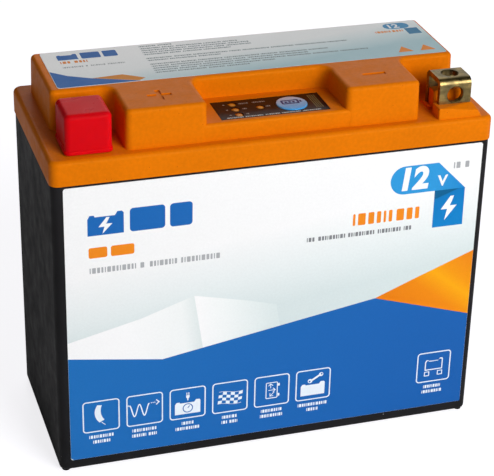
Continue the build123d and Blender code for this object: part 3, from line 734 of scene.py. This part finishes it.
def lay_front_rating(face, orange, grey):
    """Upper right: the folded ribbon with the voltage, and bars for the lines beside it."""
    white = film("print_white", even(srgb("F7F8FA")))
    ribbon_top = 97.0
    ribbon_bottom = 86.6
    radius = (ribbon_top - ribbon_bottom) / 2
    end = arc((116.7, ribbon_bottom + radius), radius, 90, 270)
    pill = [*end, (139.0, ribbon_bottom), (128.7, ribbon_top)]
    pill_stops = [(0.0, PILL_BLUE), (0.6, PILL_BLUE), (1.0, srgb("1E86CB"))]
    pill_film = film("ribbon_front", fading(pill_stops, face.point(112, 95), face.point(139, 87)))
    lay("ribbon_front", [[pill]], face, 2, pill_film)
    tail = [(127.9, 72.6), (139.1, 72.6), (139.0, ribbon_bottom), (127.9, ribbon_bottom)]
    tail_stops = [(0.0, srgb("0B679A")), (0.3, TAIL_BLUE), (1.0, srgb("0C7FC6"))]
    tail_film = film("ribbon_tail", fading(tail_stops, face.point(130, 87), face.point(134.5, 76)))
    lay("ribbon_tail", [[tail]], face, 1, tail_film)
    shadow = [(127.9, ribbon_bottom - 0.05), (128.2, 83.4), (136.8, ribbon_bottom - 0.05)]
    lay("ribbon_shadow", [[shadow]], face, 2, film("ribbon_shadow", even(srgb("0A5F8F"))))
    lay("ribbon_figures", figures("12", 115.7, 87.9, 7.9, 0.5, 0.12), face, 3, white)
    lay("ribbon_unit", figures("V", 128.6, 88.2, 3.9, 0.16), face, 3, white)
    bolt = [(133.9, 84.0), (130.6, 79.2), (133.0, 79.2), (132.2, 75.0)]
    bolt += [(136.4, 80.4), (133.9, 80.4), (135.2, 84.0)]
    lay("ribbon_bolt", [[bolt]], face, 3, white)
    lay("corner_line", text_line(134.2, 94.2, (2.6, 1.6), 2.3), face, 1, grey)
    large = text_line(98.7, 77.0, (14.2, 9.0), 4.4, 0.35)
    lay("rating_orange_line", large, face, 1, orange)
    dark = film("print_dark_grey", even(srgb("7C7E82")))
    words = (3.0, 9.6, 9.6, 8.4, 3.2)
    lay("rating_grey_line", text_line(82.5, 73.0, words, 1.55), face, 1, dark)
    return white


def lay_front_icons(face):
    """The row of pictograms along the blue field, each in a rounded box with two short lines under it."""
    pale = film("print_icon", even(ICON_WHITE))
    blue = film("print_icon_blue", even(PRINT_BLUE))
    charge, charge_hand = charge_icon()
    icons = (
        ("feather", 0, feather_icon(), ((8.6,), (6.0,))),
        ("wave", 1, wave_icon(), ((8.8,), (5.0, 3.2))),
        ("charge", 2, charge, ((4.2,), (8.6,))),
        ("flag", 3, flag_icon(), ((5.6,), (2.0, 3.0))),
        ("positions", 4, positions_icon(), ((7.6,), (8.2,))),
        ("service", 5, service_icon(), ((10.8,), (4.2,))),
        ("spacers", 8, spacer_icon(), ((6.8,), (7.8,))),
    )
    for name, place, shapes, captions in icons:
        left = ICON_FIRST + ICON_PITCH * place
        groups = [framed(0, 0, BOX_WIDTH, BOX_HEIGHT, 1.3, ICON_LINE), *shapes]
        groups = moved(groups, left, ICON_BOTTOM)
        for row, words in enumerate(captions):
            groups += centred_line(left + BOX_WIDTH / 2, ICON_BOTTOM - 2.5 - 2.1 * row, words, 1.25)
        lay(f"icon_{name}", groups, face, 2, pale)
        if name == "charge":
            hand = moved([charge_hand], left, ICON_BOTTOM)
            lay("icon_charge_hand", hand, face, 3, blue)


def print_front_label():
    """Lay every ink of the front label."""
    face = front_face()
    lay_front_facets(face)
    blue, orange, grey = lay_front_heading(face)
    white = lay_front_rating(face, orange, grey)
    lay_front_icons(face)
    return blue, orange, grey, white


# ------------------------------------------------------------------ top label
def top_face():
    """Return the top label's face, just low enough that its inks end at the label's own height."""
    low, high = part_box("top_label")
    return Face((low.x, low.y, high.z - 3 * INK), (1, 0, 0), (0, 1, 0), (0, 0, 1))


def make_top_film(face):
    """Build the top label's film under its inks: a rounded slab that stands for the CAD one."""
    low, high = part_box("top_label")
    width = (high.x - low.x) / MM
    depth = (high.y - low.y) / MM
    made = filled([[rounded(0, 0, width, depth, 0.9)]])
    for vertex in made.verts:
        top = vertex.co.z > 0
        vertex.co = face.point(vertex.co.x, vertex.co.y)
        if not top:
            vertex.co.z = low.z
    stops = [(0.0, srgb("9CC3CC")), (0.25, srgb("C8DCE0")), (0.55, srgb("EEF1F1")), (1.0, srgb("FAFAFA"))]
    colour = fading(stops, face.point(66, 0), face.point(60, depth))
    material = film("top_label_film", colour, (0.3, 0.4), {"Specular IOR Level": 0.9})
    piece = add_piece("top_label_film", made, material, "battery")
    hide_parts("top_label")


def print_top_label(blue, orange, grey, white):
    """Lay the top label: the same heading, facets, small print and ribbon as the front, much smaller."""
    face = top_face()
    make_top_film(face)
    sign = [[battery_body(4.9, 23.2, 11.8, 27.2)], [rounded(13.0, 23.2, 19.6, 28.4, 0.6)]]
    sign.append([rounded(20.6, 23.2, 25.4, 28.4, 0.6)])
    lay("top_heading_sign", sign, face, 2, blue)
    line = text_line(5.2, 20.1, (4.0, 4.6), 1.9, 0.4)
    lay("top_orange_line", line + text_line(117.0, 21.4, (5.6, 4.4), 1.7, 0.4), face, 1, orange)
    lay("top_grey_line", text_line(5.2, 16.2, (7.0, 1.0, 5.0, 6.2), 1.0), face, 1, grey)
    facet = [(0.15, 14.2), (5.2, 9.6), (12.1, 5.9), (27.5, 0.15), (0.9, 0.15), (0.15, 0.9)]
    lay("top_blue_facet", [[facet]], face, 1, blue)
    orange_facet = [(12.6, 5.8), (22.8, 6.7), (29.5, 2.2), (27.0, 0.5)]
    lay("top_orange_facet", [[orange_facet]], face, 1, film("top_orange", even(srgb("E08A1E"))))
    lines = (
        (28.6, (6.0, 5.0)),
        (26.6, (7.0, 4.4, 9.0, 6.2, 5.4)),
        (24.8, (9.2, 6.0, 4.0, 8.8, 7.4)),
        (23.0, (5.0, 8.0, 10.2, 3.8, 9.0)),
        (21.2, (8.4, 4.0, 6.6, 9.6)),
        (17.6, (9.0, 6.0, 12.0, 4.0, 9.6, 8.2, 11.0, 7.2)),
        (15.8, (7.0, 9.4, 8.0)),
        (12.4, (10.0, 5.2, 8.6, 12.2, 6.0, 9.8, 7.0)),
        (10.6, (6.0, 11.0, 9.4, 4.4, 8.8, 12.0)),
        (8.8, (9.0, 7.0, 10.4, 5.2, 12.0, 8.6, 9.2, 10.0)),
        (7.0, (8.0, 6.2, 11.6, 9.0, 4.8)),
        (5.2, (7.0, 10.0, 5.6, 8.0)),
    )
    small = []
    for v, words in lines:
        small += text_line(33.8, v, words, 0.85)
    lay("top_small_print", small, face, 1, film("print_small", even(srgb("77858A"))))
    ribbon = film("top_ribbon", even(srgb("3E93C4")))
    lay("top_ribbon_front", [[rounded(121.6, 24.2, 131.0, 29.4, 2.5)]], face, 1, ribbon)
    tail = film("top_ribbon_tail", even(srgb("2C7DA8")))
    lay("top_ribbon_tail", [[rounded(128.2, 18.4, 133.0, 23.9, 0.2)]], face, 1, tail)
    lay("top_ribbon_figures", figures("12", 123.4, 25.0, 3.4, 0.14), face, 2, white)
    signs = [[[(u, 3.0), (u + 5.6, 3.0), (u + 2.8, 7.9)]] for u in (118.2, 126.2)]
    lay("top_orange_signs", signs, face, 1, orange)


# ------------------------------------------------------------------ indicator
def print_indicator():
    """Lay the marks on the indicator's face film and the sign on its button."""
    low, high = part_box("indicator_overlay")
    face = Face((low.x, low.y, high.z), (1, 0, 0), (0, 1, 0), (0, 0, 1))
    pale = film("overlay_print", even(srgb("C9C6C2")), (0.2, 0.3))
    dim = film("overlay_dim_print", even(srgb("8C7F78")), (0.2, 0.3))
    olive = film("overlay_olive_print", even(srgb("6B5F3A")), (0.2, 0.3))
    lay("overlay_edge_line", text_line(2.0, 0.5, (5.6, 6.2, 5.0, 6.6, 6.4), 0.8), face, 1, pale)
    marks = text_line(8.8, 10.9, (3.2,), 0.9) + text_line(13.4, 10.9, (4.4,), 0.9)
    marks += text_line(9.0, 6.7, (1.4,), 0.9) + text_line(9.0, 2.5, (1.2,), 0.9)
    marks += text_line(16.9, 6.9, (1.6,), 0.9)
    marks += [[rounded(3.4, v, 4.1, v + 0.7, 0.2, 2)] for v in (11.0, 6.8, 2.6)]
    lay("overlay_marks", marks, face, 1, dim)
    starts = (32.9, 33.6, 34.3, 35.0)
    stripes = [[[(u, 2.4), (u + 0.36, 2.4), (u + 0.16, 12.6), (u - 0.2, 12.6)]] for u in starts]
    lay("overlay_stripes", stripes, face, 1, olive)

    low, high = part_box("test_button")
    centre = (low + high) / 2
    button = Face((centre.x, centre.y, high.z), (1, 0, 0), (0, 1, 0), (0, 0, 1))
    sign = [framed(-3.4, -0.8, 2.7, 2.4, 0.5, 0.7), [rounded(2.9, 0.1, 3.6, 1.5, 0.15, 2)]]
    sign += [[rounded(u, 0.2, u + 0.9, 1.3, 0.1, 2)] for u in (-2.2, -0.9, 0.4)]
    dark_blue = film("button_print", even(srgb("142C66")), (0.2, 0.3))
    lay("button_sign", sign, button, 1, dark_blue, "test_button")


# ------------------------------------------------------------------ finishes on the CAD nodes
def dress_nodes():
    """Give every CAD node the finish of its material slot."""
    finishes = inside_finishes()
    finishes["case_plastic"] = case_plastic()
    finishes["lid_plastic"] = lid_plastic()
    finishes["cap_plastic"] = cap_plastic()
    finishes["terminal_brass"] = terminal_brass()
    finishes["front_label_film"] = front_base_film()
    finishes["top_label_film"] = finishes["front_label_film"]
    finishes["overlay_film"] = overlay_film()
    finishes["button_plastic"] = button_plastic()
    finishes["amber_lens"] = amber_lens()
    for subpart in frame["record"]["subparts"]:
        for slot in nodes[subpart["node"]].material_slots:
            slot.material = finishes[subpart["material_slot"]]


# ------------------------------------------------------------------ floor, light and camera
FLOOR_RADIUS = 8.0
CAMERA_PLACE = Vector((-163.37, -512.74, 346.63)) * MM
CAMERA_AZIMUTH = -17.68
CAMERA_ELEVATION = 27.70
CAMERA_ROLL = 1.39
CAMERA_LENS = 126.34
SENSOR = 36.0


def make_floor():
    """A wide pale floor with a faint glow of its own, as a lit studio sweep has."""
    made = bmesh.new()
    bmesh.ops.create_circle(made, cap_ends=True, segments=96, radius=FLOOR_RADIUS)
    mesh = bpy.data.meshes.new("floor")
    made.to_mesh(mesh)
    made.free()
    f = Finish("floor", {"Specular IOR Level": 0.25, "Emission Strength": 1.0})
    seen = f.add("ShaderNodeLightPath").outputs["Is Camera Ray"]
    f.link(f.mix(seen, mottled(f, srgb("F0F0F2"), 3, 0.01), srgb("B0B0B4")), "Base Color")
    f.link(f.mix(seen, (0.0, 0.0, 0.0, 1.0), (0.80, 0.795, 0.815, 1.0)), "Emission Color")
    f.link(f.between(f.noise(5, 2), 0.3, 0.36), "Roughness")
    mesh.materials.append(f.material)
    floor = bpy.data.objects.new("floor", mesh)
    bpy.context.scene.collection.objects.link(floor)


def add_light(name, azimuth, elevation, distance, size, power, colour=(1.0, 1.0, 1.0)):
    """Add a soft square light that faces the middle of the object."""
    a = math.radians(azimuth)
    e = math.radians(elevation)
    back = Vector((math.sin(a) * math.cos(e), -math.cos(a) * math.cos(e), math.sin(e)))
    data = bpy.data.lights.new(name, "AREA")
    data.size = size
    data.energy = power
    data.color = colour
    light = bpy.data.objects.new(name, data)
    bpy.context.scene.collection.objects.link(light)
    aim = (cad_box[0] + cad_box[1]) / 2
    turn = (-back).to_track_quat("-Z", "Y").to_matrix().to_4x4()
    light.matrix_world = Matrix.Translation(aim + back * distance) @ turn


def make_world():
    """Pale surroundings: white to the eye, softer as a light."""
    world = bpy.data.worlds.new("studio")
    bpy.context.scene.world = world
    world.use_nodes = True
    tree = world.node_tree
    background = tree.nodes["Background"]
    background.inputs["Color"].default_value = (1.0, 1.0, 1.0, 1.0)
    path = tree.nodes.new("ShaderNodeLightPath")
    strength = tree.nodes.new("ShaderNodeMapRange")
    strength.inputs["To Min"].default_value = 0.05
    strength.inputs["To Max"].default_value = 1.0
    tree.links.new(path.outputs["Is Camera Ray"], strength.inputs["Value"])
    tree.links.new(strength.outputs["Result"], background.inputs["Strength"])


def make_camera():
    """The camera, looking down at the front from a little to the left."""
    a = math.radians(CAMERA_AZIMUTH)
    e = math.radians(CAMERA_ELEVATION)
    r = math.radians(CAMERA_ROLL)
    back = Vector((math.sin(a) * math.cos(e), -math.cos(a) * math.cos(e), math.sin(e)))
    right = (-back).cross(Vector((0, 0, 1))).normalized()
    up = back.cross(right)
    level = Matrix((right, up, back)).transposed().to_4x4()
    data = bpy.data.cameras.new("camera")
    data.sensor_width = SENSOR
    data.lens = CAMERA_LENS
    data.clip_end = 100.0
    camera = bpy.data.objects.new("camera", data)
    bpy.context.scene.collection.objects.link(camera)
    camera.matrix_world = Matrix.Translation(CAMERA_PLACE) @ level @ Matrix.Rotation(r, 4, "Z")
    bpy.context.scene.camera = camera


def make_studio():
    """The floor, the surroundings, a key light, a sheen on the tops and a weak fill from the left."""
    make_floor()
    make_world()
    add_light("key", 22, 28, 1.1, 0.6, 11.2)
    add_light("sheen", 162, 32, 1.2, 1.1, 3.4)
    add_light("fill", -80, 20, 1.1, 0.7, 0.8)
    view = bpy.context.scene.view_settings
    view.view_transform = "Standard"


dress_nodes()
print_top_label(*print_front_label())
print_indicator()
make_studio()
make_camera()

bpy.context.view_layer.update()
